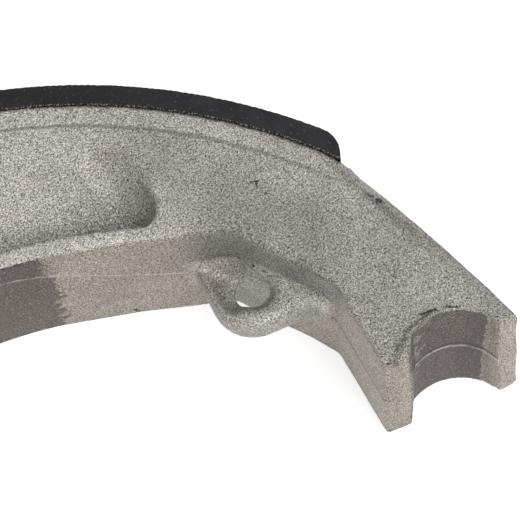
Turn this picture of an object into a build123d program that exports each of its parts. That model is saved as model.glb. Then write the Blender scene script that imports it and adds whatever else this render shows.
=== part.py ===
from build123d import *
from math import acos, atan2, cos, degrees, radians, sin, sqrt, tan
import os

# Drum brake shoe: a one-piece aluminium casting with a bonded friction lining.
#
# Millimetres. +Z runs along the drum axis, so the shoe lies on its side. The origin is on
# the drum axis, in the casting's parting plane, which is half way through its width. The
# anchor end is at +X, the cam end at -X, and the lining faces +Y.

# ---- drum and lining -------------------------------------------------------------
drum_radius = 62.5  # bore of the drum that the lining rubs on
lining_thickness = 2.4
lining_arc = 131.5  # degrees of drum that the lining covers, centred on +Y
lining_end_rake = 30.0  # degrees that its end faces lean back from the radius
lining_end_round = 3.0  # rounding of its leading and trailing corner

# ---- widths along the drum axis ---------------------------------------------------
rim_width = 20.0  # turned platform that carries the lining
web_width = 18.0  # the rest of the casting
lug_width = 4.1  # spring lugs, in the parting plane
draft_angle = 1.8  # degrees of casting draft, widest in the parting plane

# ---- bow of the shoe ----------------------------------------------------------------
section_height = 18.9  # platform to inner face, at the crown
rim_straight = 13.5  # straight run of the inner face before each arm
arm_top = Vector(-8.2, 26.7)  # inner corners of an arm, from the anchor pin's centre
arm_knee = Vector(-4.1, 14.7)
arm_lean = 10.4  # degrees that the arm's inner face leans back below its knee
arm_top_round = 3.0
arm_knee_round = 2.0
heel_reach = 8.0  # pin centre to the back of the arm, along X
heel_radius = 150.0  # gentle crown of the arm's back
shoulder_arc = 1.2  # degrees of bare platform beyond each end of the lining

# ---- anchor end ---------------------------------------------------------------------
anchor_inset = 12.5  # drum face to anchor pin centre
seat_radius = 6.0  # half-round seat of the anchor pin
seat_lead = 5.05  # pin centre to the flat lead-in on the seat's inner side
seat_lead_angle = 46.4  # degrees from X
anchor_face_height = 2.7  # pin centre to the prongs' flat ends
anchor_face_tilt = 17.0  # degrees from X
prong_round = 0.4  # corners of the prongs and the toe

# ---- cam end ------------------------------------------------------------------------
cam_face_height = 4.0  # half the thickness of the closed cam
cam_round = 0.8

# ---- platform flange ------------------------------------------------------------------
flange_height = 2.2  # turned strip, measured in from the platform
flange_step = 0.3  # step at the strip's inner edge
flange_slope = 3.0  # radial run of the slope from the step down to the web
flange_runout = 7.0  # length over which the flange dies away past the lining

# ---- pocket in each side ----------------------------------------------------------------
pocket_depth = 4.0  # below the side face
pocket_rim = 1.8  # wall left along the inner face
pocket_end_inset = 3.7  # each end of the pocket from the arm's inner corner, along X
pocket_slope = 36.0  # degrees of its outer bank
pocket_cove = 6.0  # radius from the bank to the floor
pocket_floor_round = 3.0  # from the inner wall to the floor
pocket_floor_dip = 0.3  # how far below the floor that round would run out
pocket_draft = 6.0  # degrees of its inner wall
pocket_end_slope = 20.0  # degrees of its end walls
pocket_end_rise = 5.2  # lowest point of each end above the arm's inner corner
pocket_end_round = 2.8  # of the end walls' lower corner, in plan

# ---- spring lugs -------------------------------------------------------------------------
spring_hole = Vector(-9.0, 22.4)  # centre of the hole, from the anchor pin's centre
spring_hole_radius = 1.8
spring_mouth = 0.9  # how far the hole flares out at each side
spring_throat = 2.2  # straight length of the hole
lug_radius = 4.4
lug_root_top = Vector(-11.8, 29.6)  # where the lug's flanks run into the arm, from the pin
lug_root_low = Vector(-3.8, 16.6)
lug_edge = 1.0  # rounding of the lugs' rims
lug_draft = 6.0  # degrees

# ---- edges -------------------------------------------------------------------------------
cast_edge = 0.3  # along the inner face and the ends
allowance = 1.5  # stock outside the platform, turned off after casting

# ---- worked out ------------------------------------------------------------------------------
over = 3.0  # how far a cutting solid stands proud of the face it cuts
platform_radius = drum_radius - lining_thickness
anchor_radius = drum_radius - anchor_inset
rim_half = rim_width / 2
web_half = web_width / 2
pin = Vector(anchor_radius, 0)
corner = pin + arm_top
knee = pin + arm_knee
hole_centre = pin + spring_hole
crown = platform_radius - section_height
lining_start = 90 - lining_arc / 2
shoulder_angle = lining_start - shoulder_arc
step_radius = platform_radius - flange_height
crease_radius = step_radius - flange_slope

# The inner face is an arc about a centre below the drum axis, tangent to a straight run
# that ends at the arm's corner.
bow_centre = (rim_straight**2 - corner.X**2 - corner.Y**2 + crown**2) / (2 * (crown - corner.Y))
bow_radius = crown - bow_centre
corner_bearing = degrees(atan2(corner.Y - bow_centre, corner.X))
corner_reach = sqrt(bow_radius**2 + rim_straight**2)
tangent_bearing = corner_bearing + degrees(acos(bow_radius / corner_reach))


def on_circle(radius, angle, centre_y=0.0):
    """Point at an angle on a circle whose centre is on the Y axis."""
    return Vector(radius * cos(radians(angle)), centre_y + radius * sin(radians(angle)))


def face_point(reach):
    """Point on the plane of the anchor end's flats, at a reach along X from the pin."""
    tilt = radians(anchor_face_tilt)
    return pin + Vector(reach, anchor_face_height / cos(tilt) - reach * tan(tilt))


tangent = on_circle(bow_radius, tangent_bearing, bow_centre)
shoulder = on_circle(platform_radius, shoulder_angle)
heel = Vector(pin.X + heel_reach, face_point(heel_reach).Y - 2)
toe = knee - Vector(knee.Y * tan(radians(arm_lean)), knee.Y)


def mirrored(point):
    """The same point on the cam side of the shoe."""
    return Vector(-point.X, point.Y)


def nearest(shapes, *points):
    """The vertex or edge nearest to each point."""
    return [shapes.sort_by_distance(point)[0] for point in points]


# ---- side view of the casting, at its side faces ----------------------------------------------
with BuildSketch() as seat_view:
    with Locations(pin):
        Circle(seat_radius)
    lead_point = pin + Vector(-seat_lead, 0).rotate(Axis.Z, seat_lead_angle - 90)
    with Locations(lead_point):
        Rectangle(
            4 * seat_radius,
            seat_radius,
            rotation=seat_lead_angle,
            align=(Align.CENTER, Align.MIN),
            mode=Mode.SUBTRACT,
        )

with BuildSketch() as side_view:
    with BuildLine() as outline:
        Polyline(tangent, corner, knee, toe, heel)
        RadiusArc(shoulder, heel, heel_radius)
        stock_start = on_circle(platform_radius + allowance, shoulder_angle)
        Line(shoulder, stock_start)
        mirror(about=Plane.YZ)
        ThreePointArc(mirrored(tangent), (0, crown), tangent)
        ThreePointArc(stock_start, (0, platform_radius + allowance), mirrored(stock_start))
    make_face()
    arm_depth = heel_reach - arm_knee.X
    with Locations(face_point(0)):
        Rectangle(
            3 * arm_depth,
            arm_depth,
            rotation=-anchor_face_tilt,
            align=(Align.CENTER, Align.MAX),
            mode=Mode.SUBTRACT,
        )
    with Locations((-anchor_radius, cam_face_height)):
        Rectangle(3 * arm_depth, arm_depth, align=(Align.CENTER, Align.MAX), mode=Mode.SUBTRACT)
    add(seat_view.sketch, mode=Mode.SUBTRACT)

# ---- turned flange that carries the lining: upper half ---------------------------------------------
runout_angle = degrees(flange_runout / platform_radius)
flange_start = shoulder_angle - runout_angle
flange_root = crease_radius - flange_slope
flange_arc = 180 - 2 * flange_start
start_plane = Plane(
    (0, 0, 0),
    x_dir=on_circle(1, flange_start),
    z_dir=on_circle(1, flange_start - 90),
)

with BuildPart() as flange_half:
    with BuildSketch(start_plane):
        with BuildLine():
            Polyline(
                (flange_root, 0),
                (platform_radius, 0),
                (platform_radius, rim_half),
                (step_radius, rim_half),
                (step_radius, rim_half - flange_step),
                (crease_radius, web_half),
                (flange_root, web_half),
                close=True,
            )
        make_face()
    revolve(axis=Axis.Z, revolution_arc=flange_arc)
    ramp = atan2(rim_half - web_half, flange_runout)
    along = on_circle(sin(ramp), shoulder_angle - 90)
    for side in (1, -1):
        lean = Vector(side * along.X, along.Y, cos(ramp))
        top_of_ramp = Vector(side * shoulder.X, shoulder.Y, rim_half)
        split(bisect_by=Plane(top_of_ramp, z_dir=lean), keep=Keep.BOTTOM)
    add(side_view.sketch)
    extrude(amount=rim_half, mode=Mode.INTERSECT)

# ---- pocket in the side face --------------------------------------------------------------------
# Its outer bank is turned about the drum axis and its inner wall about the bow's centre.
floor_z = web_half - pocket_depth
above = web_half + over
bank_slope = radians(pocket_slope)
bank_drop = pocket_depth - pocket_cove * (1 - cos(bank_slope))
bank_foot = Vector(crease_radius - bank_drop / tan(bank_slope), web_half - bank_drop)
bank_top = Vector(crease_radius + over / tan(bank_slope), above)
cove_start = Vector(bank_foot.X - pocket_cove * sin(bank_slope), floor_z)
wall_lean = tan(radians(pocket_draft))
wall_radius = bow_radius + pocket_rim
wall_foot = Vector(wall_radius + pocket_depth * wall_lean, floor_z - pocket_floor_dip)
wall_top = Vector(wall_radius - over * wall_lean, above)
inside = crown - section_height
pocket_end = corner.X - pocket_end_inset

with BuildPart() as pocket:
    with BuildSketch(start_plane):
        with BuildLine():
            Polyline((inside, above), (inside, floor_z), cove_start)
            TangentArc(cove_start, bank_foot, tangent=(1, 0))
            Polyline(bank_foot, bank_top, (inside, above))
        make_face()
    revolve(axis=Axis.Z, revolution_arc=flange_arc)
    with BuildSketch(Plane((0, bow_centre, 0), x_dir=(0, 1, 0), z_dir=(1, 0, 0))) as wall_section:
        with BuildLine():
            outside = drum_radius - bow_centre
            Polyline(wall_top, wall_foot, (outside, wall_foot.Y), (outside, above), close=True)
        make_face()
        fillet(nearest(wall_section.vertices(), wall_foot), pocket_floor_round)
    revolve(axis=Axis((0, bow_centre, 0), (0, 0, 1)), mode=Mode.INTERSECT)
    with BuildSketch(Plane.XY.offset(web_half)):
        with Locations((0, corner.Y + pocket_end_rise)):
            RectangleRounded(
                2 * pocket_end,
                drum_radius,
                pocket_end_round,
                align=(Align.CENTER, Align.MIN),
            )
    extrude(amount=-pocket_depth, taper=pocket_end_slope, mode=Mode.INTERSECT)

# ---- spring lug, upper half ------------------------------------------------------------------------
lug_half_width = lug_width / 2
with BuildPart() as lug_half:
    with BuildSketch():
        with BuildLine():
            CenterArc(hole_centre, lug_radius, 0, 360)
            Line(pin + lug_root_top, pin + lug_root_low)
        make_hull()
    extrude(amount=lug_half_width)
    draft(lug_half.faces().filter_by(Axis.Z, reverse=True), Plane.XY, lug_draft)
    fillet(lug_half.faces().sort_by(Axis.Z)[-1].edges(), lug_edge)
    mirror(about=Plane.YZ)

with BuildPart() as spring_hole_cut:
    with BuildSketch(Plane.XZ):
        with BuildLine():
            throat_end = spring_throat / 2
            reach = lug_half_width + lug_edge
            flare = spring_mouth * (reach - throat_end) / (lug_half_width - throat_end)
            Polyline(
                (0, 0),
                (spring_hole_radius, 0),
                (spring_hole_radius, throat_end),
                (spring_hole_radius + flare, reach),
                (0, reach),
                close=True,
            )
        make_face()
    revolve(axis=Axis.Z)

# ---- casting: upper half, mirrored in the parting plane ----------------------------------------------
def uprights(shape, *points):
    """The edge that runs up the casting's side nearest to each point of the side view."""
    tall = shape.edges().filter_by(lambda edge: edge.bounding_box().size.Z > web_half / 2)
    return nearest(tall, *[point + Vector(0, 0, web_half / 2) for point in points])


anchor_corners = (face_point(toe.X - pin.X), face_point(heel_reach))
cam_corners = (Vector(-toe.X, cam_face_height), Vector(-heel.X, cam_face_height))

with BuildPart() as shoe_casting:
    add(side_view.sketch)
    extrude(amount=web_half)
    walls = shoe_casting.faces().filter_by(Axis.Z, reverse=True)
    draft(walls, Plane.XY.offset(web_half), draft_angle)
    fillet(uprights(shoe_casting, corner, mirrored(corner)), arm_top_round)
    fillet(uprights(shoe_casting, knee, mirrored(knee)), arm_knee_round)
    fillet(uprights(shoe_casting, *anchor_corners), prong_round)
    fillet(uprights(shoe_casting, *cam_corners), cam_round)
    add(flange_half.part)
    add(lug_half.part)
    with Locations(hole_centre, mirrored(hole_centre)):
        add(spring_hole_cut.part, mode=Mode.SUBTRACT)
    Cylinder(platform_radius, web_width + rim_width, mode=Mode.INTERSECT)
    mirror(about=Plane.XY)
    add(pocket.part, mode=Mode.SUBTRACT)
    mirror(pocket.part, about=Plane.XY, mode=Mode.SUBTRACT)
    rims = (Vector(0, crown, web_half), Vector(0, crown, -web_half))
    fillet(nearest(shoe_casting.edges(), *rims), cast_edge)

with BuildPart() as friction_lining:
    with BuildSketch() as lining_view:
        with BuildLine():
            rake = radians(lining_end_rake)
            inner_start = on_circle(platform_radius, lining_start)
            lean_out = on_circle(1, lining_start + lining_end_rake)
            across = inner_start.dot(lean_out)
            run = -across + sqrt(across**2 + drum_radius**2 - platform_radius**2)
            outer_start = inner_start + lean_out * run
            ThreePointArc(mirrored(outer_start), (0, drum_radius), outer_start)
            Line(outer_start, inner_start)
            ThreePointArc(inner_start, (0, platform_radius), mirrored(inner_start))
            Line(mirrored(inner_start), mirrored(outer_start))
        make_face()
        fillet(nearest(lining_view.vertices(), outer_start, mirrored(outer_start)), lining_end_round)
    extrude(amount=rim_half, both=True)

os.makedirs("parts", exist_ok=True)
shoe_casting.part.label = "shoe_casting"
export_step(shoe_casting.part, "parts/shoe_casting.step")
friction_lining.part.label = "friction_lining"
export_step(friction_lining.part, "parts/friction_lining.step")
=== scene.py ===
import math

import bpy
import numpy as np
from mathutils import Matrix, Vector, noise


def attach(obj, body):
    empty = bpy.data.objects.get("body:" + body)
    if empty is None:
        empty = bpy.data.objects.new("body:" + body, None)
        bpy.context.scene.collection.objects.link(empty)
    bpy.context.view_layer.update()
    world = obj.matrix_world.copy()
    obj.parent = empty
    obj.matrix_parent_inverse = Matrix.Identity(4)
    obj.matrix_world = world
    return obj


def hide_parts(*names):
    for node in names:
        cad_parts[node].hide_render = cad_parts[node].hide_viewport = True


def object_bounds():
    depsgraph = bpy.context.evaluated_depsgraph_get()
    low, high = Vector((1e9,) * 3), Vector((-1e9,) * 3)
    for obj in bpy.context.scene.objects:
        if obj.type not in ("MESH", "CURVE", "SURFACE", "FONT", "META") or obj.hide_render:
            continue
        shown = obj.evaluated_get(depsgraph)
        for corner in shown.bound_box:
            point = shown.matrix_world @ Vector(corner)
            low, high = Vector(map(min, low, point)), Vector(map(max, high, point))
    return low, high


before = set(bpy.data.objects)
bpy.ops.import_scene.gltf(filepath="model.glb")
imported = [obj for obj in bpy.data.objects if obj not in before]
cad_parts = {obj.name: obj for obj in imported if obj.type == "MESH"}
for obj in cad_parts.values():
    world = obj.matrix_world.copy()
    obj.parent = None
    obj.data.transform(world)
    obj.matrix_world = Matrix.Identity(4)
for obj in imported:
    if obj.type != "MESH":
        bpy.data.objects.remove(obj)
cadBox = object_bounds()
print("frame loaded")

scene = bpy.context.scene
scene.view_settings.view_transform = "Standard"
mm = 0.001


def srgb(code):
    # a hex colour as painted, turned to the linear values that the shaders take
    values = [int(code[i:i + 2], 16) / 255 for i in (1, 3, 5)]
    return [v / 12.92 if v <= 0.04045 else ((v + 0.055) / 1.055) ** 2.4 for v in values] + [1.0]


def addNode(tree, kind, settings=None, links=None):
    # one shader node with its settings, socket values and incoming links;
    # a link that names a node takes its first output in use
    node = tree.nodes.new(kind)
    for name, value in (settings or {}).items():
        if isinstance(name, str) and hasattr(node, name) and name not in node.inputs:
            setattr(node, name, value)
        else:
            node.inputs[name].default_value = value
    for name, source in (links or {}).items():
        if not isinstance(source, bpy.types.NodeSocket):
            source = next(out for out in source.outputs if out.enabled)
        tree.links.new(source, node.inputs[name])
    return node


def newMaterial(name):
    material = bpy.data.materials.new(name)
    material.use_nodes = True
    material.node_tree.nodes.clear()
    return material


# the camera looks down on the anchor end, turned a little, from a long way off
view = {
    "turn": 33.575,       # degrees from the shoe's own axes to the view's
    "elevation": 66.0,
    "roll": -5.5895,
    "target": (22.8672, 45.1344),   # mm, in the view's axes
    "distance": 512.2,    # mm
    "focal": 5000,        # pixels, for a frame this wide
    "frameWidth": 520,
    "sensor": 36.0,       # mm
    "clip": (0.01, 20),   # m
}


def placeCamera():
    lift = math.radians(view["elevation"])
    roll = math.radians(view["roll"])
    back = Vector((0, -math.cos(lift), math.sin(lift)))
    right = Vector((1, 0, 0))
    up = Vector((0, math.sin(lift), math.cos(lift)))
    across = right * math.cos(roll) + up * math.sin(roll)
    upward = up * math.cos(roll) - right * math.sin(roll)
    place = Vector((*view["target"], 0)) + back * view["distance"]
    turned = Matrix.Rotation(-math.radians(view["turn"]), 3, "Z")
    axes = Matrix([turned @ across, turned @ upward, turned @ back]).transposed()
    data = bpy.data.cameras.new("shoeCamera")
    data.sensor_width = view["sensor"]
    data.lens = view["focal"] / view["frameWidth"] * view["sensor"]
    data.clip_start, data.clip_end = view["clip"]
    camera = bpy.data.objects.new("shoeCamera", data)
    scene.collection.objects.link(camera)
    camera.matrix_world = Matrix.Translation(turned @ place * mm) @ axes.to_4x4()
    scene.camera = camera
    return turned


turned = placeCamera()
print("camera placed")

studio = {
    "middle": (0.02, 0.03, 0),   # what the lamps look at, in metres
    # each lamp's place from there, in metres along the view's axes
    "lamps": {
        "key": {"from": (0.45, -0.5, 0.75), "size": 0.4, "watts": 4.3},
        "fill": {"from": (-0.3, 0.5, 0.8), "size": 0.6, "watts": 1.3},
    },
    "world": 0.27,        # what the white room gives the object
    "floorSize": 4,       # m
    "paper": "#f2f2f2",
    "paperGlow": 0.7,     # what the eye gets from the paper besides, in the background only
    "white": "#ffffff",
}


def addLamp(name, spec):
    data = bpy.data.lights.new(name, "AREA")
    data.size = spec["size"]
    data.energy = spec["watts"]
    lamp = bpy.data.objects.new(name, data)
    scene.collection.objects.link(lamp)
    place = turned @ Vector(spec["from"])
    lamp.location = Vector(studio["middle"]) + place
    lamp.rotation_euler = place.to_track_quat("Z", "Y").to_euler()


for name, spec in studio["lamps"].items():
    addLamp(name, spec)


def looksAtBackground(tree):
    # 1 for rays from the camera, in reflections and through glass, and 0 for light on the object
    rays = addNode(tree, "ShaderNodeLightPath").outputs
    seen = rays["Is Camera Ray"]
    for name in ("Is Glossy Ray", "Is Transmission Ray"):
        seen = addNode(tree, "ShaderNodeMath", {"operation": "MAXIMUM"}, {0: seen, 1: rays[name]})
    return seen


world = bpy.data.worlds.new("studio")
scene.world = world
world.use_nodes = True
tree = world.node_tree
tree.nodes.clear()
seen = looksAtBackground(tree)
white = srgb(studio["white"])
soft = addNode(tree, "ShaderNodeBackground", {"Color": white, "Strength": studio["world"]})
full = addNode(tree, "ShaderNodeBackground", {"Color": white, "Strength": 1.0})
both = addNode(tree, "ShaderNodeMixShader", {}, {0: seen, 1: soft, 2: full})
addNode(tree, "ShaderNodeOutputWorld", {}, {"Surface": both})

bpy.ops.object.select_all(action="DESELECT")
bpy.ops.mesh.primitive_plane_add(size=studio["floorSize"], location=(0, 0, cadBox[0][2]))
floor = bpy.context.object
floor.name = "floor"
# matt white paper: no gloss, and it keeps the shoe's shadow
paper = newMaterial("whitePaper")
tree = paper.node_tree
seen = looksAtBackground(tree)
matt = addNode(tree, "ShaderNodeBsdfDiffuse", {"Color": srgb(studio["paper"])})
glow = addNode(tree, "ShaderNodeEmission", {"Color": white, "Strength": studio["paperGlow"]})
lit = addNode(tree, "ShaderNodeAddShader", {}, {0: matt, 1: glow})
both = addNode(tree, "ShaderNodeMixShader", {}, {0: seen, 1: matt, 2: lit})
addNode(tree, "ShaderNodeOutputMaterial", {}, {"Surface": both})
floor.data.materials.append(paper)
print("stage ready")


# shapes and places that both pieces share, in mm; both ends and both sides are alike
shoe = {
    "platform": 60.1,      # radius of the bond between casting and lining
    "step": 57.9,          # radius of the small step at the strip's inner edge
    "crease": 54.9,        # radius where the flange's slope meets the side face
    "web": 9.0,            # half width of the casting
    "draft": 1.8,          # degrees
    "corner": (41.8, 26.7),       # where the arm leaves the bow, at the side face
    "armNormal": (0.946, 0.323),
    "bowNormal": (0.491, 0.872),  # of the straight run before the arm
    "cornerRound": 3.0,
    "hole": (41.0, 22.4),  # the spring's hole in the lug
    "pin": 50.0,           # the anchor pin's middle
    "pinSeat": 6.35,       # radius within which a point lies in the pin's seat
    "bowCentre": -20.0,
    "bowWall": 61.9,       # radius about the bow's centre that takes in its inner wall
    "pocketWall": 63.2,    # radius of the pocket's inner wall about the bow's centre
}


def smoothStep(low, high, value):
    t = np.clip((value - low) / (high - low), 0, 1)
    return t * t * (3 - 2 * t)


def band(value, middle, width):
    # 1 at the middle, dying away over the width on either side
    return np.exp(-((value - middle) / width) ** 2)


def readPoints(piece):
    # vertex places in mm
    flat = np.zeros(len(piece.data.vertices) * 3, np.float32)
    piece.data.vertices.foreach_get("co", flat)
    return flat.reshape(-1, 3).astype(float) / mm


def readNormals(piece):
    flat = np.zeros(len(piece.data.vertices) * 3, np.float32)
    piece.data.vertex_normals.foreach_get("vector", flat)
    return flat.reshape(-1, 3).astype(float)


def writePoints(piece, points):
    piece.data.vertices.foreach_set("co", (points * mm).astype(np.float32).ravel())
    piece.data.update()


def folded(points):
    # both ends and both sides of the shoe laid over one another
    return np.abs(points[:, 0]), points[:, 1], np.abs(points[:, 2])


def workOn(piece):
    bpy.ops.object.select_all(action="DESELECT")
    piece.select_set(True)
    bpy.context.view_layer.objects.active = piece


def mergedCopy(node, name):
    # a CAD node is loose triangles, so its copy is merged before it is worked on
    workOn(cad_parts[node])
    bpy.ops.object.duplicate()
    piece = bpy.context.object
    piece.name = name
    piece.parent = None
    for key in list(piece.keys()):
        del piece[key]
    piece.data.materials.clear()
    bpy.ops.object.mode_set(mode="EDIT")
    bpy.ops.mesh.select_all(action="SELECT")
    bpy.ops.mesh.remove_doubles(threshold=0.002 * mm)
    bpy.ops.mesh.normals_make_consistent(inside=False)
    bpy.ops.object.mode_set(mode="OBJECT")
    return piece


def applyModifier(piece, kind, settings):
    workOn(piece)
    bpy.ops.object.modifier_add(type=kind)
    modifier = piece.modifiers[-1]
    for key, value in settings.items():
        setattr(modifier, key, value)
    bpy.ops.object.modifier_apply(modifier=modifier.name)


def remeshed(piece, spec):
    # even cells with the edges kept, smoothed a little as a moulded surface is
    cells = {"mode": "SHARP", "octree_depth": spec["fineness"], "scale": 0.98, "sharpness": 1.0}
    applyModifier(piece, "REMESH", cells)
    applyModifier(piece, "SMOOTH", {"factor": spec["smoothing"], "iterations": 2})


def soften(piece, weights, factor, times):
    # smooths the piece only where the weights say
    group = piece.vertex_groups.new(name="soften")
    for index in np.nonzero(weights > 0.02)[0]:
        group.add([int(index)], float(weights[index]), "REPLACE")
    settings = {"factor": factor, "iterations": times, "vertex_group": "soften"}
    applyModifier(piece, "SMOOTH", settings)
    piece.vertex_groups.remove(piece.vertex_groups["soften"])


def paint(piece, name, weights):
    # a mask that the material reads, kept on the piece's own points
    layer = piece.data.attributes.new(name, "FLOAT", "POINT")
    layer.data.foreach_set("value", weights.astype(np.float32))


def roughen(piece, spec):
    # a slow unevenness of the skin, only inwards, so that the piece keeps its size
    points, normals = readPoints(piece), readNormals(piece)
    wave = np.array([noise.noise(Vector(point) / spec["wavinessSize"]) for point in points])
    depth = spec["waviness"] * (0.5 + 0.5 * wave).clip(0, 1)
    writePoints(piece, points - normals * depth[:, None])


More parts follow.
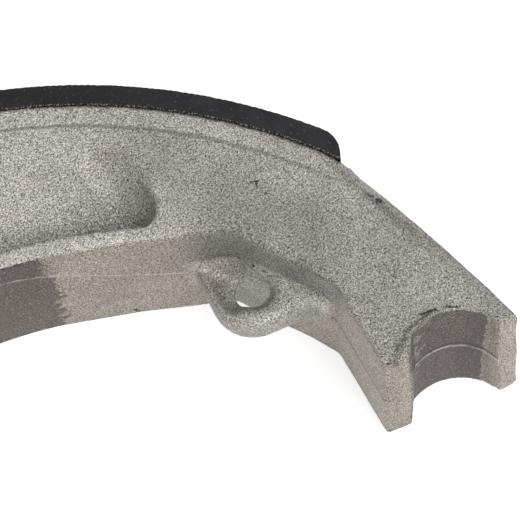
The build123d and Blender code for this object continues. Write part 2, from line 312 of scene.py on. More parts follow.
# the casting: the CAD shape, remeshed finely enough to wear a cast skin; all in mm unless it says
casting = {
    "fineness": 8,           # halvings of the casting's length, to cells of about 0.46 mm
    "smoothing": 0.25,
    "waviness": 0.05,
    "wavinessSize": 2.6,
    # the spring lugs
    "lugHeight": 2.05,       # half its thickness
    "lugReach": 9,           # from the hole within which a point belongs to the lug
    "lugFlanks": (((38.2, 29.6), (36.72, 23.43)), ((39.96, 18.13), (46.2, 16.6))),
    "lugRadius": 4.4,
    "lugRound": (166, 257),  # degrees about the hole over which the outline is that round
    "flareReach": 5.5,       # of the hole's flare, which the arm's wall cuts off
    "flareHeight": 4.2,
    "flareDepth": (-2.2, -0.02),
    "valley": 0.74,          # how deep the lug's face is dished, as a share of its height
    "hollow": (44.6, 16.5),
    "hollowDepth": 0.5,      # as a share of the height there
    "hollowSize": 0.9,
    "fillet": 1.6,           # how far the lug's face climbs the arm
    "filletWidth": 2.0,
    "filletReach": 4.0,
    "ridge": 0.45,
    "ridgePlace": (0.7, 0.35),      # from the arm, and its width
    "buttress": 0.75,        # how far it stands out of the arm
    # the pocket
    "pocketEnd": 38.15,      # from the shoe's middle
    "pocketCorner": (35.9, 34.1),   # centre of the end's lower round
    "pocketBulge": 0.8,      # how far the end stands out in its middle
    "pocketClimb": 5.5,      # over which the floor climbs to the end
    "pocketGentler": 1.2,    # the climb's growth towards the flange, as a share
    "pocketDepth": 4.0,
    "pocketHollow": (35.5, 37.5),
    # the arms
    "cornerFill": 0.5,
    "heelTrim": 0.45,        # taken off the heel at the parting plane
    "heelRadius": 150.0,
    "heelCentre": (-91.98, -4.94),
    "shoulder": 1.5,         # width of the soft shoulder on the arm's back
    "shoulderDrop": 0.9,
    "crease": (1.3, 0.35),   # the painted shade in the crease behind the shoulder: its place and its width
    "armStart": 40,          # from the shoe's middle, past which there are only arms
    # the parting line, which climbs from the arms towards the crown
    "flashLow": 0.4,
    "flashHigh": 5.8,
    "flashClimb": (38, 19),
    "flashWidth": 0.11,      # half the burr's width
    "seatBurr": 1.9,         # how much heavier it is in the pin's seat
    # the rough patch on the wall over each lug, darkened with painted shade
    "overLugFoot": 2.2,      # above the parting plane
    "overLugRise": 1.6,      # how much higher it starts on the arm
    "overLugReach": 8.5,     # from the hole
    "overLugFurther": 3,     # how much further it goes on the arm
    # painted shade and painted light, and dirt along the seat's rim
    "seatLeftShade": 2.75,    # how much more painted shade the left of the pin's seat gets, as a share
    "limbLit": 0.5,       # how much more painted light the lug's outer limb gets, as a share
    "tipShade": 0.8,          # size of the painted shade in the hollow near the lug's tip
    "browShade": (8.6, 0.3),  # height and width of the painted shade under the arm's upper edge
    "rimDirt": 0.3,          # width of the dirt along the seat's rim
    # from where a shape or a mask is nothing to where it is full
    "spans": {
        # on the lugs: inside the outline, from the arm, about the hole in degrees, from the hole
        "limb": (0.4, 1.6),
        "ledge": (0.6, 1.5),
        "fullFrom": (185, 215),
        "fullTo": (335, 300),
        "pastHole": (1.7, 2.8),
        "lugTip": (8, 6),
        "armSide": (40.8, 42.3),
        # the buttress: along the arm at both ends, above the parting plane, out of the wall
        "buttressEnd": (14.9, 15.7),
        "buttressRoot": (20.5, 17.5),
        "buttressTop": (4.9, 3.8),
        "buttressFoot": (-0.6, 0.3),
        "wallFront": (0.7, 0.2),
        # the pocket's end
        "bulgeFoot": (34.6, 36.2),
        "bulgeTop": (43, 40),
        "bulgeStart": (34.5, 36),
        "flangeSide": (34, 42),
        # the corner's fill: along the bow in two sweeps, up the arm, and into the metal
        "fillBow": (24, 30),
        "fillCorner": (32.5, 39.5),
        "fillArm": (17.5, 24.5),
        "fillBehind": (-3.5, -0.5),
        # the heel and the arm's back
        "heelLow": (12, 3),
        "heelOut": (54, 57),
        "backTop": (27, 22),
        "backEdge": (6.5, 9),
        "backHeel": (-2, 8),
        # what is softened
        "coveTurn": (46, 52),
        "coveHeight": (5, 6),
        "hollowReach": (7.5, 4),
        "hollowHeight": (4.2, 5.2),
        "runOutStart": (27, 22),
        "runOutEnd": (10, 14),
        "runOutInner": (50, 53),
        "runOutOuter": (60.3, 59.6),
        "runOutHeight": (8.2, 8.7),
        "edgeArm": (14, 18),
        "edgeBow": (24, 32),
        "lugSkin": (8.5, 7),
        "lugSkinTop": (3.2, 2.6),
        "rootTip": (9, 8),
        "rootHole": (1.9, 2.8),
        "prongEnd": (6, 2),
        "prongEdge": (8.0, 8.6),
        # where the skin is rough
        "sideways": (0.45, 0.8),    # how squarely a face looks to the side
        "roughReach": (7.5, 6.5),
        "roughTop": (3.4, 2.8),
        "roughArm": (41, 42),
        "roughTip": (9, 8.3),
        "roughArmTop": (4.4, 3.8),
        "offWall": (0.05, 0.3),
        "nearWall": (1.0, 0.3),
        "underEdge": (9.6, 8.2),
        "pastCorner": (41, 42.5),
        "farArm": (41, 43),
        "behindHole": (3.6, 2.6),
        # where painted shade and dirt go
        "wallFacing": (-0.4, -0.8),
        "dishEdge": (0.9, 1.8),
        "dishWall": (0.7, 1.5),
        "dishReach": (6.5, 5),
        "throat": (2.6, 1.9),
        "faceWall": (1.2, 1.7),
        "faceArm": (42, 43),
        "faceEdge": (0.8, 1.4),
        "browArm": (42, 45),
        "pocketLip": (9.0, 8.7),
        "footReach": (6, 0),
        "endStart": (34.5, 38),
        "endRadius": (51, 46),
        "creaseTop": (26, 23),
        "creaseEnd": (7, 17),
        "seatFacing": (-0.5, -0.8),
        "rimTurn": (55, 75),
        "seatLeft": (60, 85),
        "upperStart": (27.5, 24.0),
        "overFlash": (0, 0.4),
        "lowLeft": (70, 50),
        "lowRight": (10, 25),
        "lowHeight": (1, 0),
        # where the skin is paler: painted light on the crown and the lugs' ledges and crests; the strip and
        # the prongs' ends are simply paler
        "crown": (43, 28),
        "strip": (57.8, 58.2),
        "stripEnd": (54, 46),
        "ledgeWall": (1.6, 1.1),
        "ledgeReach": (7.5, 6),
        "ledgeHole": (1.9, 2.6),
        "crestSkin": (0.0, 0.2),
        "crestWall": (1.4, 0.8),
        "crestArm": (41.5, 43),
        "crestFoot": (1.2, 2.2),
        "crestTop": (5, 4.4),
        "endFacing": (-0.7, -0.95),
        "rubbedFacing": (-0.85, -0.93),
        # the dark stains
        "stainRight": (28.5, 23.0),
        "stainLeft": (4, 10),
        "seatStain": (25, 35),
        "seatFade": (108, 75),
    },
    "softening": {"cove": 1.0, "ending": 0.25, "runOut": 1.0, "edge": 0.5, "lug": 0.06,
                  "root": 0.7, "prongs": 0.1},
    # shares of the darkening masks: painted shade over and in the lugs, under the arm's edge, in the crease,
    # at the pocket's foot and ends and in the pin's seat; dirt along the seat's rim; darker over the parting
    # line
    "dirtAndShadeShares": {"overLug": 0.36, "dished": 0.14, "tip": 0.45, "face": 0.12, "brow": 0.45,
                  "throat": 0.08, "foot": 0.5, "ending": 1.0, "crease": 0.35, "seat": 0.08,
                  "rim": 0.75, "upper": 0.25, "low": 0.4},
    # shares of the paler masks: painted light on the crown, the lugs, the ledge and the crest; the strip and
    # the prongs' ends are simply paler
    "paleness": {"crown": 0.41, "strip": 0.22, "lug": 0.2, "ledge": 0.5, "crest": 0.45, "ends": 0.14},
    # the skin
    "side": "#9e9a94",       # rough faces
    "wall": "#a1998f",       # drawn walls, a little smoother and warmer
    "grain": 0.17,           # size of the mould's grain, drawn a little coarse so that it shows
    "fineGrain": 0.1,
    "grainDepth": 0.08,
    "wallContrast": 7.6,     # how strongly the grain shows
    "sideContrast": 7.2,
    "blotch": 10 / 9,        # size of the unevenness in dirt and stains
    "cloud": 7.0,            # size of the skin's soft patches
    "metallic": 0.5,         # the oxide skin hides half of the metal's mirror
    "roughness": 0.55,
    # the darkening colour: painted shade in hollows, creases and along the step and the parting line, and
    # dirt and the dark bond line
    "dirtAndShade": "#2b2926",
    "stain": "#3f3334",
    # the burr's colour is a painted highlight where light catches its raised edge
    "burrHighlight": "#d6d2cb",      # bright burr where the mould halves met
    "pits": "#1c1a19",
    "pitEdge": 0.25,         # size of the unevenness of their outlines
    # small pits, nicks and chips: where each starts and ends, and its half width
    "scars": (
        ((46.55, 28.95, 9.0), (47.1, 28.55, 9.0), 0.09),
        ((46.8, 28.5, 9.0), (46.65, 28.15, 9.0), 0.09),
        ((46.82, 27.08, 9.0), (46.9, 27.0, 9.0), 0.11),
        ((54.68, 20.1, 8.9), (54.8, 19.9, 8.9), 0.3),
        ((55.08, 19.15, 8.9), (55.2, 18.95, 8.9), 0.3),
        ((32.4, 31.8, -7.7), (32.8, 31.5, -8.3), 0.2),
        ((44.6, 4.65, 9.0), (45.9, 3.45, 9.0), 0.13),
        ((50.5, 6.75, 8.9), (51.9, 6.25, 8.9), 0.14),
        ((52.9, 5.75, 8.9), (54.0, 4.9, 8.9), 0.12),
        ((57.2, 8.6, 8.9), (57.3, 8.3, 8.9), 0.16),
        ((38.15, 19.65, 1.6), (38.95, 20.05, 1.7), 0.07),
        ((55.3, 2.9, 1.5), (55.9, 1.3, 1.2), 0.16),
        ((32.2, 32.15, 8.4), (32.6, 31.9, 7.6), 0.16),
    ),
}


def ramp(span, value):
    # from 0 to 1 over one of the casting's spans
    return smoothStep(*casting["spans"][span], value)


def weighed(masks, shares):
    # the strongest of several masks at each point, each with its share
    return np.maximum.reduce([shares[name] * mask for name, mask in masks.items()])


def innerWall(points):
    # mm in front of the inner wall near a lug, and which way the wall lies from there
    x, y, z = folded(points)
    drafted = (shoe["web"] - z) * math.tan(math.radians(shoe["draft"]))
    arm, bow = np.array(shoe["armNormal"]), np.array(shoe["bowNormal"])
    away = np.stack([x, y], 1) - shoe["corner"]
    toArm, toBow = -away @ arm - drafted, -away @ bow - drafted
    # the wall is rounded where the arm leaves the bow, about this centre
    reach = (shoe["cornerRound"] + drafted) / (1 + arm @ bow)
    spoke = away + reach[:, None] * (arm + bow)
    length = np.hypot(*spoke.T)
    turn = np.arctan2(spoke[:, 1], spoke[:, 0])
    rounded = (turn > math.atan2(*arm[::-1])) & (turn < math.atan2(*bow[::-1]))
    nearArm = toArm < toBow
    distance = np.where(rounded, shoe["cornerRound"] - length, np.where(nearArm, toArm, toBow))
    way = np.where(rounded[:, None], spoke / length[:, None], np.where(nearArm[:, None], arm, bow))
    return distance, way * np.stack([np.sign(points[:, 0]), np.ones(len(x))], 1)


def aboutHole(points):
    # mm from the middle of the nearest lug's hole, and degrees about it
    x, y = np.abs(points[:, 0]) - shoe["hole"][0], points[:, 1] - shoe["hole"][1]
    return np.hypot(x, y), np.degrees(np.arctan2(y, x)) % 360


def aboutHeel(x, y):
    # mm inside the arm's back
    return casting["heelRadius"] - np.hypot(x - casting["heelCentre"][0], y - casting["heelCentre"][1])


def lugDepth(points):
    # mm inside the lug's outline
    x, y, z = folded(points)
    hole, bearing = aboutHole(points)
    depth = np.full(len(points), np.inf)
    for (ax, ay), (bx, by) in casting["lugFlanks"]:
        length = math.hypot(bx - ax, by - ay)
        depth = np.minimum(depth, ((bx - ax) * (y - ay) - (by - ay) * (x - ax)) / length)
    start, end = casting["lugRound"]
    return np.where((bearing > start) & (bearing < end), casting["lugRadius"] - hole, depth)


def sculptLugs(piece):
    points = readPoints(piece)
    wall, way = innerWall(points)
    (hole, bearing), depth = aboutHole(points), lugDepth(points)
    height, z = casting["lugHeight"], np.abs(points[:, 2])
    # the hole's flare stops at the arm, whose wall runs straight down past it
    deepest, shallowest = casting["flareDepth"]
    flare = (hole < casting["flareReach"]) & (z < casting["flareHeight"])
    flare = flare & (wall < shallowest) & (wall > deepest)
    points[:, :2] += np.where(flare, wall, 0)[:, None] * way
    # the eye's limbs stand up around a dished face, with a ledge along the arm,
    # and under the hole the limb is full
    dish = ramp("limb", depth) * ramp("ledge", wall)
    dish = dish * (1 - ramp("fullFrom", bearing) * ramp("fullTo", bearing))
    inside = (z < height + 0.5) & (hole < casting["lugReach"]) & (wall > 0.1)
    points[:, 2] *= np.where(inside, 1 - casting["valley"] * dish, 1)
    # past the hole the face climbs the arm in a fillet with a ridge along its top
    x, y, z = folded(points)
    climb = np.minimum(z / height, 1 - (z - height) / casting["filletReach"]).clip(0, 1)
    width = casting["filletWidth"]
    fillet = climb * (1 - wall.clip(0, width) / width) ** 2 * (wall > -0.4)
    ridge = band(wall, *casting["ridgePlace"]) * (z / height).clip(0, 1) * (z < casting["filletReach"])
    along = ramp("pastHole", hole) * ramp("lugTip", hole) * ramp("armSide", x)
    lift = (casting["fillet"] * fillet + casting["ridge"] * ridge) * along
    points[:, 2] += lift * np.sign(points[:, 2])
    # the ridge runs on past the lug as a short buttress above the parting plane
    x, y, z = points.T
    buttress = ramp("buttressEnd", y) * ramp("buttressRoot", y)
    buttress = buttress * ramp("buttressTop", z) * ramp("buttressFoot", z)
    buttress = buttress * ramp("wallFront", wall) * (wall > -1.2)
    points[:, :2] -= (casting["buttress"] * buttress)[:, None] * way
    # and the face is hollow again near the lug's tip
    x, y, z = folded(points)
    tip = np.hypot(x - casting["hollow"][0], y - casting["hollow"][1])
    hollow = band(tip, 0, casting["hollowSize"]) * (wall > 0.2) * (z < casting["filletReach"])
    points[:, 2] *= 1 - casting["hollowDepth"] * hollow
    writePoints(piece, points)


def shapePocketEnds(piece):
    # the pocket's floor climbs to its end in one long hollow, more gently towards the flange;
    # the end is round at its foot and stands out in its middle
    points = readPoints(piece)
    x, y, z = folded(points)
    end, (cornerX, cornerY) = casting["pocketEnd"], casting["pocketCorner"]
    bulge = ramp("bulgeFoot", y) * ramp("bulgeTop", y)
    atCorner = end - cornerX - np.hypot(x - cornerX, y - cornerY)
    atEnd = end + casting["pocketBulge"] * bulge - x
    inside = np.where((x > cornerX) & (y < cornerY), atCorner, atEnd)
    climb = casting["pocketClimb"] * (1 + casting["pocketGentler"] * ramp("flangeSide", y))
    share = 1 - (inside / climb).clip(0, 1)
    bottom = shoe["web"] - casting["pocketDepth"] * (1 - share ** 2)
    radius, bow = np.hypot(x, y), np.hypot(x, y - shoe["bowCentre"])
    inPocket = (z > 4.2) & (x > 28) & (y > 31.5) & (radius < 55.5) & (bow > shoe["pocketWall"] - 0.3)
    z = z + (np.minimum(z, bottom) - z) * bulge * ramp("bulgeStart", x)
    shaped = np.maximum(z, bottom) * np.sign(points[:, 2])
    points[:, 2] = np.where(inPocket, shaped, points[:, 2])
    writePoints(piece, points)


def fillCorners(piece):
    # the inner wall sweeps round from the bow into the arm, a little in front of the plain corner
    points = readPoints(piece)
    wall, way = innerWall(points)
    x, y, z = folded(points)
    along = (0.4 * ramp("fillBow", x) + 0.6 * ramp("fillCorner", x)) * ramp("fillArm", y)
    depth = ramp("fillBehind", wall) * ramp("wallFront", wall)
    points[:, :2] -= (casting["cornerFill"] * along * depth)[:, None] * way
    writePoints(piece, points)


def trimHeel(piece):
    # the arm's back is squarer at its anchor end than the rest of the casting
    points = readPoints(piece)
    x, y, z = points.T
    share = (1 - np.abs(z) / shoe["web"]).clip(0, 1) * ramp("heelLow", y) * ramp("heelOut", x)
    points[:, 0] -= casting["heelTrim"] * share
    writePoints(piece, points)


def roundHeel(piece):
    # past the lining the arm's back falls away to its edge in a soft shoulder
    points = readPoints(piece)
    x, y, z = folded(points)
    share = smoothStep(casting["shoulder"], 0, aboutHeel(x, y)) * ramp("backTop", y)
    share = share * ramp("backEdge", z) * ramp("backHeel", y) * (x > 48)
    points[:, 2] -= casting["shoulderDrop"] * share * np.sign(points[:, 2])
    writePoints(piece, points)


def softenCasting(piece):
    points = readPoints(piece)
    x, y, z = folded(points)
    wall, hole = innerWall(points)[0], aboutHole(points)[0]
    radius, angle = np.hypot(x, y), np.degrees(np.arctan2(y, x))
    hollowX, hollowY = casting["pocketHollow"]
    masks = {
        # beyond the arch the slope runs into the pocket in one cove
        "cove": band(radius, shoe["crease"], 2.0) * ramp("coveTurn", angle) * ramp("coveHeight", z),
        # the pocket ends in a round hollow
        "ending": ramp("hollowReach", np.hypot(x - hollowX, y - hollowY)) * ramp("hollowHeight", z),
        # past the lining the flange dies away in the side face
        "runOut": ramp("runOutStart", angle) * ramp("runOutEnd", angle) * ramp("runOutHeight", z)
        * ramp("runOutInner", radius) * ramp("runOutOuter", radius),
        # the inner wall's upper edge is well rounded around the corner
        "edge": band(np.hypot(wall, points[:, 2] - shoe["web"]), 0, 0.9)
        * ramp("edgeArm", y) * ramp("edgeBow", x),
        "lug": ramp("lugSkin", hole) * ramp("lugSkinTop", z),
        # the lug grows out of the wall in a fillet
        "root": band(np.hypot(wall, z - casting["lugHeight"]), 0, 1.1)
        * ramp("rootTip", hole) * ramp("rootHole", hole),
        "prongs": ramp("prongEnd", y) * ramp("prongEdge", z),
    }
    soften(piece, weighed(masks, casting["softening"]), factor=0.5, times=30)


shoeCasting = mergedCopy("shoe_casting", "castingSkin")
remeshed(shoeCasting, casting)
print("casting remeshed:", len(shoeCasting.data.polygons), "faces")
sculptLugs(shoeCasting)
shapePocketEnds(shoeCasting)
fillCorners(shoeCasting)
trimHeel(shoeCasting)
roundHeel(shoeCasting)
softenCasting(shoeCasting)
roughen(shoeCasting, casting)
print("casting shaped")


def flashHeight(x):
    # the parting line's height above the middle of the casting
    low, high = casting["flashLow"], casting["flashHigh"]
    return low + (high - low) * smoothStep(*casting["flashClimb"], np.abs(x))


def paintCasting(piece):
    points, normals = readPoints(piece), readNormals(piece)
    x, y, z = points.T
    ax, az = np.abs(x), np.abs(z)
    wall, hole, depth = innerWall(points)[0], aboutHole(points)[0], lugDepth(points)
    radius, bow = np.hypot(x, y), np.hypot(x, y - shoe["bowCentre"])
    # mm from the anchor pin's middle, and degrees about it
    reach, turn = np.hypot(x - shoe["pin"], y), np.degrees(np.arctan2(y, x - shoe["pin"]))
    onLug, onArm = az < 3, ax > casting["armStart"]

    # sand-rough where the mould faced the side and round the lugs, smoother on the drawn inner wall
    flat = ramp("sideways", np.abs(normals[:, 2]))
    eye = ramp("roughReach", hole) * ramp("roughTop", az) * (wall > 0.35)
    root = ramp("roughArm", ax) * ramp("roughTip", hole) * ramp("roughArmTop", az) * ramp("offWall", wall)
    lug = np.maximum(eye, root)
    # the patch over each lug is rough, and below the arm's edge it carries painted shade
    start = casting["overLugFoot"] + casting["overLugRise"] * ramp("pastCorner", ax)
    far = casting["overLugReach"] + casting["overLugFurther"] * ramp("farArm", ax)
    overLug = smoothStep(far, 0.6 * far, hole) * smoothStep(start, start + 1, z)
    overLug = overLug * ramp("nearWall", wall) * ramp("underEdge", az)
    paint(piece, "rough", np.maximum.reduce([flat, lug, overLug, ramp("behindHole", hole)]))

    towardsBow = (normals[:, 0] * x + normals[:, 1] * (y - shoe["bowCentre"])) / bow
    inner = (bow < shoe["bowWall"]) * ramp("wallFacing", towardsBow)
    towardsPin = (normals[:, 0] * (x - shoe["pin"]) + normals[:, 1] * y) / reach
    seat = (reach < shoe["pinSeat"]) * (az < 8.9) * ramp("seatFacing", towardsPin)
    inPocket = (bow > shoe["pocketWall"] - 0.4) * (radius < 55) * (ax < 38.6) * (y > 31)
    inPocket = inPocket * ramp("pocketLip", az)
    fromHollow = np.hypot(ax - casting["hollow"][0], y - casting["hollow"][1])
    dirtAndShade = {
        # painted shade over the lugs, in their dished faces and holes, and in the hollow near their tips
        "overLug": overLug,
        "dished": ramp("dishEdge", depth) * ramp("dishWall", wall) * ramp("dishReach", hole) * (az < 2.2),
        "throat": ramp("throat", hole) * (az < 2.4) * (wall > 0.1),
        "face": ramp("faceWall", wall) * ramp("faceArm", ax) * ramp("faceEdge", depth) * onLug,
        "tip": band(fromHollow, 0, casting["tipShade"]) * (wall > 0.2) * onLug,
        # painted shade under the arm's upper edge, and in the crease behind its shoulder
        "brow": band(az, *casting["browShade"]) * (np.abs(wall) < 0.5) * ramp("browArm", ax),
        "crease": band(aboutHeel(ax, y), *casting["crease"]) * ramp("creaseTop", y)
        * ramp("creaseEnd", y) * (az > 7.5) * (ax > 50),
        # painted shade at the pocket's foot and ends
        "foot": inPocket * ramp("footReach", bow - shoe["pocketWall"]),
        "ending": inPocket * ramp("endStart", ax) * ramp("endRadius", radius),
        # painted shade thinly in the pin's seat, more at its left and low down, and dirt along its ragged
        # rim
        "seat": seat * (1 + casting["seatLeftShade"] * ramp("seatLeft", turn)),
        "low": seat * ramp("lowLeft", turn) * ramp("lowRight", turn) * ramp("lowHeight", z),
        "rim": band(reach, shoe["pinSeat"], casting["rimDirt"]) * ramp("rimTurn", turn) * (z > 8),
        # over the parting line
        "upper": inner * ramp("upperStart", x) * ramp("overFlash", z - flashHeight(x)),
    }
    paint(piece, "dirtAndShade", weighed(dirtAndShade, casting["dirtAndShadeShares"]))

    paleAndLit = {
        # painted light on the crown's face and the lugs, and a paler strip
        "crown": ramp("crown", ax) * flat,
        "strip": ramp("strip", radius) * ramp("stripEnd", ax) * flat,
        "lug": lug * (1 + casting["limbLit"] * (ax < 40.5)),
        # painted highlights on the ledge along the arm and on the crest of the lug's ridge, where they face
        # up
        "ledge": ramp("offWall", wall) * ramp("ledgeWall", wall) * ramp("ledgeReach", hole)
        * ramp("ledgeHole", hole) * onLug * (ax < 41.5),
        "crest": ramp("crestSkin", wall) * ramp("crestWall", wall) * ramp("crestArm", ax)
        * ramp("roughTip", hole) * ramp("crestFoot", z) * ramp("crestTop", z),
        # and paler on the prongs' flat ends
        "ends": ramp("endFacing", normals[:, 1]) * (y < 4) * onArm,
    }
    paint(piece, "paleAndLit", 1 + weighed(paleAndLit, casting["paleness"]))

    # the parting line's burr is heaviest in the pin's seat, and rubbed off the flat ends
    rubbed = ramp("rubbedFacing", normals[:, 1]) * (y < 7) * onArm * (np.abs(x - shoe["pin"]) > 3.6)
    burr = np.where(reach < 6.5, casting["seatBurr"], 1) * (1 - rubbed)
    paint(piece, "burr", np.maximum(burr, 0.01))

    # dark stains on the anchor half of the inner wall, which end unevenly at the parting line,
    # and in the pin's seat, where they fade towards the left
    edge = x + np.where(z < flashHeight(x), -0.2, 0.9)
    innerStain = inner * ramp("stainRight", edge) * ramp("stainLeft", edge)
    seatStain = seat * ramp("seatStain", turn + 0.5 * (z + 4)) * (0.5 + 0.5 * ramp("seatFade", turn + 2 * z))
    paint(piece, "stain", np.maximum(innerStain, seatStain))


def millimetres(tree):
    # the piece's own coordinates in mm, so that each pattern's scale is one over its size
    place = addNode(tree, "ShaderNodeTexCoord").outputs["Object"]
    return addNode(tree, "ShaderNodeVectorMath", {"operation": "SCALE", "Scale": 1 / mm}, {0: place})


def castAluminium():
    # sand-cast aluminium: a dull grey skin that took the grain of the mould, with sparkling points
    material = newMaterial("sandCastAluminium")
    tree = material.node_tree
    place = millimetres(tree)
    rough, dirtAndShade, stain, paleAndLit, heavy = (
        addNode(tree, "ShaderNodeAttribute", {"attribute_name": name}).outputs["Fac"]
        for name in ("rough", "dirtAndShade", "stain", "paleAndLit", "burr"))
    axes = addNode(tree, "ShaderNodeSeparateXYZ", {}, {0: place}).outputs
    across = addNode(tree, "ShaderNodeMath", {"operation": "ABSOLUTE"}, {0: axes["X"]})
    fine, finest, middling, cloud = (
        addNode(tree, "ShaderNodeTexNoise",
                {"Scale": 1 / casting[size], "Detail": detail, "Roughness": 0.6}, {"Vector": place})
        for size, detail in (("grain", 2.0), ("fineGrain", 1.0), ("blotch", 3.0), ("cloud", 3.0)))

    # rough and drawn faces differ in tone and in how strongly the grain shows
    base = addNode(tree, "ShaderNodeMix",
                   {"data_type": "RGBA", "A": srgb(casting["wall"]), "B": srgb(casting["side"])},
                   {"Factor": rough})
    contrast = addNode(tree, "ShaderNodeMapRange",
                       {"To Min": casting["wallContrast"], "To Max": casting["sideContrast"]},
                       {"Value": rough})
    speck = addNode(tree, "ShaderNodeMix", {"data_type": "FLOAT", "Factor": 0.5}, {"A": fine, "B": finest})
    speck = addNode(tree, "ShaderNodeMath", {"operation": "SUBTRACT", 1: 0.5}, {0: speck})
    speck = addNode(tree, "ShaderNodeMath", {"operation": "MULTIPLY_ADD", 2: 1.0}, {0: speck, 1: contrast})
    speck = addNode(tree, "ShaderNodeMath", {"operation": "MAXIMUM", 1: 0.15}, {0: speck})
    patch = addNode(tree, "ShaderNodeMapRange",
                    {"From Min": 0.35, "From Max": 0.65, "To Min": 0.9, "To Max": 1.1}, {"Value": cloud})
    tone = addNode(tree, "ShaderNodeMath", {"operation": "MULTIPLY"}, {0: patch, 1: paleAndLit})
    tone = addNode(tree, "ShaderNodeMath", {"operation": "MULTIPLY"}, {0: speck, 1: tone})
    colour = addNode(tree, "ShaderNodeVectorMath", {"operation": "SCALE"}, {0: base, "Scale": tone})

    # stains with ragged edges, worn through to the grain
    ragged = addNode(tree, "ShaderNodeMath", {"operation": "MULTIPLY_ADD", 1: 1.4}, {0: middling, 2: stain})
    stained = addNode(tree, "ShaderNodeMapRange", {"From Min": 1.13, "From Max": 1.27}, {"Value": ragged})
    worn = addNode(tree, "ShaderNodeMapRange",
                   {"From Min": 0.3, "From Max": 0.7, "To Min": 0.95, "To Max": 0.55}, {"Value": fine})
    stained = addNode(tree, "ShaderNodeMath", {"operation": "MULTIPLY"}, {0: stained, 1: worn})
    colour = addNode(tree, "ShaderNodeMix", {"data_type": "RGBA", "B": srgb(casting["stain"])},
                     {"Factor": stained, "A": colour})

    # painted shade and dirt in the hollows, uneven and deepest between the grains
    patchy = addNode(tree, "ShaderNodeMapRange",
                     {"From Min": 0.3, "From Max": 0.7, "To Min": 1.3, "To Max": 0.7}, {"Value": middling})
    grainy = addNode(tree, "ShaderNodeMapRange",
                     {"From Min": 0.35, "From Max": 0.65, "To Min": 1.35, "To Max": 0.65}, {"Value": fine})
    soiledAndShaded = addNode(tree, "ShaderNodeMath", {"operation": "MULTIPLY"}, {0: patchy, 1: dirtAndShade})
    soiledAndShaded = addNode(tree, "ShaderNodeMath", {"operation": "MULTIPLY"}, {0: soiledAndShaded, 1: grainy})
    colour = addNode(tree, "ShaderNodeMix", {"data_type": "RGBA", "B": srgb(casting["dirtAndShade"])},
                     {"Factor": soiledAndShaded, "A": colour})

    # a thin broken line of painted shadow along the flange's step, which fades towards the arms
    flatPlace = addNode(tree, "ShaderNodeCombineXYZ", {}, {"X": axes["X"], "Y": axes["Y"]})
    radius = addNode(tree, "ShaderNodeVectorMath", {"operation": "LENGTH"}, {0: flatPlace})
    wander = addNode(tree, "ShaderNodeMath", {"operation": "MULTIPLY_ADD", 1: 0.3, 2: -0.15}, {0: middling})
    fromStep = addNode(tree, "ShaderNodeMath", {"operation": "ADD"}, {0: radius, 1: wander})
    fromStep = addNode(tree, "ShaderNodeMath", {"operation": "SUBTRACT", 1: shoe["step"]}, {0: fromStep})
    fromStep = addNode(tree, "ShaderNodeMath", {"operation": "ABSOLUTE"}, {0: fromStep})
    stepShadow = addNode(tree, "ShaderNodeMapRange",
                       {"From Min": 0.05, "From Max": 0.22, "To Min": 0.65, "To Max": 0.0},
                       {"Value": fromStep})
    fading = addNode(tree, "ShaderNodeMapRange",
                     {"From Min": 34, "From Max": 46, "To Min": 1.0, "To Max": 0.45}, {"Value": across})
    broken = addNode(tree, "ShaderNodeMapRange",
                     {"From Min": 0.3, "From Max": 0.6, "To Min": 0.1, "To Max": 1.0}, {"Value": fine})
    for share in (fading, broken):
        stepShadow = addNode(tree, "ShaderNodeMath", {"operation": "MULTIPLY"}, {0: stepShadow, 1: share})
    # and the ragged dark line where the lining is bonded on
    bond = addNode(tree, "ShaderNodeMath", {"operation": "MULTIPLY_ADD", 1: 2.2}, {0: wander, 2: radius})
    bond = addNode(tree, "ShaderNodeMath", {"operation": "ADD"}, {0: bond, 1: fine})
    bondEdge = {"From Min": shoe["platform"] + 0.3, "From Max": shoe["platform"] + 0.42, "To Max": 0.95}
    bond = addNode(tree, "ShaderNodeMapRange", bondEdge, {"Value": bond})
    lines = addNode(tree, "ShaderNodeMath", {"operation": "MAXIMUM"}, {0: stepShadow, 1: bond})
    lines = addNode(tree, "ShaderNodeMath", {"operation": "MULTIPLY"}, {0: lines, 1: rough})
    colour = addNode(tree, "ShaderNodeMix", {"data_type": "RGBA", "B": srgb(casting["dirtAndShade"])},
                     {"Factor": lines, "A": colour})

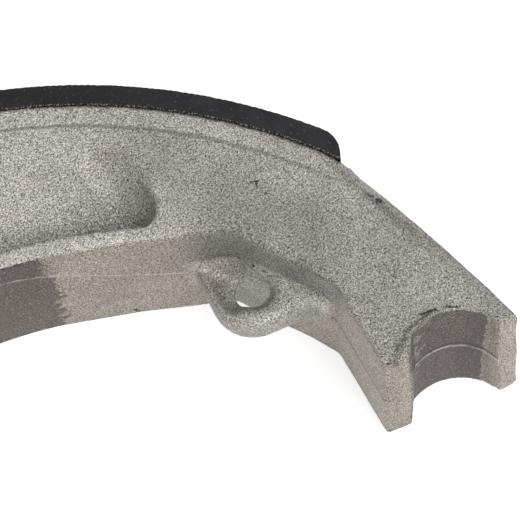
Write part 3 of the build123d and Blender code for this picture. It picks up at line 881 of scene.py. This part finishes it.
    # the parting line on the walls: a thin burr, painted bright as a highlight where light catches it,
    # broken here and there, with a painted shadow line above it
    armEnd, crownEnd = casting["flashClimb"]
    climb = {"interpolation_type": "SMOOTHSTEP", "From Min": crownEnd, "From Max": armEnd,
             "To Min": casting["flashHigh"], "To Max": casting["flashLow"]}
    height = addNode(tree, "ShaderNodeMapRange", climb, {"Value": across})
    above = addNode(tree, "ShaderNodeMath", {"operation": "MULTIPLY_ADD", 1: -1.6},
                    {0: wander, 2: axes["Z"]})
    above = addNode(tree, "ShaderNodeMath", {"operation": "SUBTRACT"}, {0: above, 1: height})
    above = addNode(tree, "ShaderNodeMath", {"operation": "DIVIDE"}, {0: above, 1: heavy})
    offLine = addNode(tree, "ShaderNodeMath", {"operation": "ABSOLUTE"}, {0: above})
    drawn = addNode(tree, "ShaderNodeMapRange",
                    {"From Min": 0.3, "From Max": 0.6, "To Min": 1.0, "To Max": 0.0}, {"Value": rough})
    burrEdge = {"From Min": casting["flashWidth"] * 0.5, "From Max": casting["flashWidth"] * 1.6,
                "To Min": 1.0, "To Max": 0.0}
    burr = addNode(tree, "ShaderNodeMapRange", burrEdge, {"Value": offLine})
    gaps = addNode(tree, "ShaderNodeMapRange",
                   {"From Min": 0.36, "From Max": 0.56, "To Min": 0.15}, {"Value": middling})
    for share in (gaps, drawn):
        burr = addNode(tree, "ShaderNodeMath", {"operation": "MULTIPLY"}, {0: burr, 1: share})
    under = addNode(tree, "ShaderNodeMath", {"operation": "SUBTRACT", 1: 2 * casting["flashWidth"]},
                    {0: above})
    under = addNode(tree, "ShaderNodeMath", {"operation": "ABSOLUTE"}, {0: under})
    flashShadow = addNode(tree, "ShaderNodeMapRange",
                    {"From Min": 0.1, "From Max": 0.32, "To Min": 1.0, "To Max": 0.0}, {"Value": under})
    onArm = addNode(tree, "ShaderNodeMapRange",
                    {"From Min": 36, "From Max": 45, "To Min": 0.0, "To Max": 0.62}, {"Value": across})
    for share in (onArm, drawn):
        flashShadow = addNode(tree, "ShaderNodeMath", {"operation": "MULTIPLY"}, {0: flashShadow, 1: share})
    colour = addNode(tree, "ShaderNodeMix", {"data_type": "RGBA", "B": srgb(casting["dirtAndShade"])},
                     {"Factor": flashShadow, "A": colour})
    # the burr's painted highlight
    shine = addNode(tree, "ShaderNodeMath", {"operation": "MULTIPLY", 1: 0.65}, {0: burr})
    colour = addNode(tree, "ShaderNodeMix", {"data_type": "RGBA", "B": srgb(casting["burrHighlight"])},
                     {"Factor": shine, "A": colour})

    # pits, nicks and chips, as rows of spots with uneven outlines
    nearest = None
    for start, end, width in casting["scars"]:
        steps = max(1, round((Vector(end) - Vector(start)).length / (1.5 * width)))
        for step in range(steps + 1):
            spot = Vector(start).lerp(Vector(end), step / steps)
            away = addNode(tree, "ShaderNodeVectorMath", {"operation": "DISTANCE", 1: spot}, {0: place})
            away = addNode(tree, "ShaderNodeMath", {"operation": "DIVIDE", 1: width}, {0: away})
            if nearest:
                away = addNode(tree, "ShaderNodeMath", {"operation": "MINIMUM"}, {0: away, 1: nearest})
            nearest = away
    uneven = addNode(tree, "ShaderNodeTexNoise",
                     {"Scale": 1 / casting["pitEdge"], "Detail": 2.0}, {"Vector": place})
    pitted = addNode(tree, "ShaderNodeMath", {"operation": "MULTIPLY_ADD", 1: 3.0},
                     {0: uneven, 2: nearest})
    pitted = addNode(tree, "ShaderNodeMapRange",
                     {"From Min": 2.2, "From Max": 2.7, "To Min": 0.9, "To Max": 0.0}, {"Value": pitted})
    colour = addNode(tree, "ShaderNodeMix", {"data_type": "RGBA", "B": srgb(casting["pits"])},
                     {"Factor": pitted, "A": colour})

    # the grain and the burr stand up, and the pits are sunk
    lift = addNode(tree, "ShaderNodeMath", {"operation": "MULTIPLY_ADD", 1: 1.5}, {0: burr, 2: fine})
    lift = addNode(tree, "ShaderNodeMath", {"operation": "MULTIPLY_ADD", 1: -2.0}, {0: pitted, 2: lift})
    bump = addNode(tree, "ShaderNodeBump", {"Strength": 1.0, "Distance": casting["grainDepth"] * mm},
                   {"Height": lift})
    surface = addNode(tree, "ShaderNodeBsdfPrincipled",
                      {"Metallic": casting["metallic"], "Roughness": casting["roughness"]},
                      {"Base Color": colour, "Normal": bump})
    addNode(tree, "ShaderNodeOutputMaterial", {}, {"Surface": surface})
    return material


paintCasting(shoeCasting)
workOn(shoeCasting)
bpy.ops.object.shade_smooth()
shoeCasting.data.materials.append(castAluminium())
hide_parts("shoe_casting")
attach(shoeCasting, "root")
print("casting finished")

# the lining: a curved block glued to the platform, all in mm unless it says
lining = {
    "fineness": 8,
    "smoothing": 0.3,
    "waviness": 0.05,
    "wavinessSize": 1.3,
    "sharpEdge": 40,         # degrees between faces over which an edge stays sharp
    "compound": "#242426",
    "patch": 4.0,            # size of its lighter and darker places
    "handled": 1.7,          # how much paler its ends are, where it has been handled
    "grit": "#77777a",       # pale fibres and mineral grains
    "gritSize": 0.28,        # a little coarse so that it shows
    "gritDepth": 0.06,
    "glue": "#121110",
    "rust": "#5a4636",
    "glueWander": 5 / 6,     # size of the unevenness along the bond
    "crumbs": "#a3a099",     # bright bits of the casting's edge
    "crumbSize": 1 / 6,
    "crumbPlace": 0.14,      # outside the bond
    "roughness": 0.8,
    "sheen": 0.3,            # the dull surface reflects less than a smooth plastic
}


def frictionCompound():
    # moulded friction compound: charcoal grey and dull, with pale fibres and grit showing
    material = newMaterial("mouldedFrictionCompound")
    tree = material.node_tree
    place = millimetres(tree)
    axes = addNode(tree, "ShaderNodeSeparateXYZ", {}, {0: place}).outputs
    across = addNode(tree, "ShaderNodeMath", {"operation": "ABSOLUTE"}, {0: axes["X"]})
    grit, patch, wander, crumbs = (
        addNode(tree, "ShaderNodeTexNoise",
                {"Scale": 1 / lining[size], "Detail": detail, "Roughness": roughness}, {"Vector": place})
        for size, detail, roughness in (("gritSize", 3.0, 0.7), ("patch", 3.0, 0.6),
                                        ("glueWander", 3.0, 0.65), ("crumbSize", 1.0, 0.5)))
    shade = addNode(tree, "ShaderNodeMapRange",
                    {"From Min": 0.35, "From Max": 0.65, "To Min": 0.7, "To Max": 1.35}, {"Value": patch})
    paler = addNode(tree, "ShaderNodeMapRange",
                    {"From Min": 35, "From Max": 55, "To Min": 1.0, "To Max": lining["handled"]},
                    {"Value": across})
    shade = addNode(tree, "ShaderNodeMath", {"operation": "MULTIPLY"}, {0: shade, 1: paler})
    base = addNode(tree, "ShaderNodeVectorMath",
                   {"operation": "SCALE", 0: srgb(lining["compound"])[:3]}, {"Scale": shade})
    grains = addNode(tree, "ShaderNodeMapRange",
                     {"From Min": 0.6, "From Max": 0.74, "To Max": 0.6}, {"Value": grit})
    colour = addNode(tree, "ShaderNodeMix", {"data_type": "RGBA", "B": srgb(lining["grit"])},
                     {"Factor": grains, "A": base})

    # glue squeezed out in a ragged line along the bond, with a little rust
    flatPlace = addNode(tree, "ShaderNodeCombineXYZ", {}, {"X": axes["X"], "Y": axes["Y"]})
    radius = addNode(tree, "ShaderNodeVectorMath", {"operation": "LENGTH"}, {0: flatPlace})
    edge = addNode(tree, "ShaderNodeMath", {"operation": "MULTIPLY_ADD", 1: -0.9}, {0: wander, 2: radius})
    glueEdge = {"From Min": shoe["platform"] - 0.35, "From Max": shoe["platform"] - 0.1,
                "To Min": 1.0, "To Max": 0.0}
    glued = addNode(tree, "ShaderNodeMapRange", glueEdge, {"Value": edge})
    rusty = addNode(tree, "ShaderNodeMapRange", {"From Min": 0.58, "From Max": 0.68}, {"Value": patch})
    glue = addNode(tree, "ShaderNodeMix",
                   {"data_type": "RGBA", "A": srgb(lining["glue"]), "B": srgb(lining["rust"])},
                   {"Factor": rusty})
    colour = addNode(tree, "ShaderNodeMix", {"data_type": "RGBA"}, {"Factor": glued, "A": colour, "B": glue})

    # crumbs stuck in it
    crumbs = addNode(tree, "ShaderNodeMapRange", {"From Min": 0.54, "From Max": 0.6}, {"Value": crumbs})
    fromBond = addNode(tree, "ShaderNodeMath",
                       {"operation": "SUBTRACT", 1: shoe["platform"] + lining["crumbPlace"]}, {0: radius})
    fromBond = addNode(tree, "ShaderNodeMath", {"operation": "ABSOLUTE"}, {0: fromBond})
    crumbLine = addNode(tree, "ShaderNodeMapRange",
                        {"From Min": 0.08, "From Max": 0.14, "To Min": 0.75, "To Max": 0.0},
                        {"Value": fromBond})
    crumbs = addNode(tree, "ShaderNodeMath", {"operation": "MULTIPLY"}, {0: crumbs, 1: crumbLine})
    colour = addNode(tree, "ShaderNodeMix", {"data_type": "RGBA", "B": srgb(lining["crumbs"])},
                     {"Factor": crumbs, "A": colour})

    bump = addNode(tree, "ShaderNodeBump", {"Strength": 1.0, "Distance": lining["gritDepth"] * mm},
                   {"Height": grit})
    surface = addNode(tree, "ShaderNodeBsdfPrincipled",
                      {"Roughness": lining["roughness"], "Specular IOR Level": lining["sheen"]},
                      {"Base Color": colour, "Normal": bump})
    addNode(tree, "ShaderNodeOutputMaterial", {}, {"Surface": surface})
    return material


frictionBlock = mergedCopy("friction_lining", "frictionBlock")
remeshed(frictionBlock, lining)
roughen(frictionBlock, lining)
workOn(frictionBlock)
bpy.ops.object.shade_smooth_by_angle(angle=math.radians(lining["sharpEdge"]))
frictionBlock.data.materials.append(frictionCompound())
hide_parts("friction_lining")
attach(frictionBlock, "root")
print("lining finished:", len(frictionBlock.data.polygons), "faces")
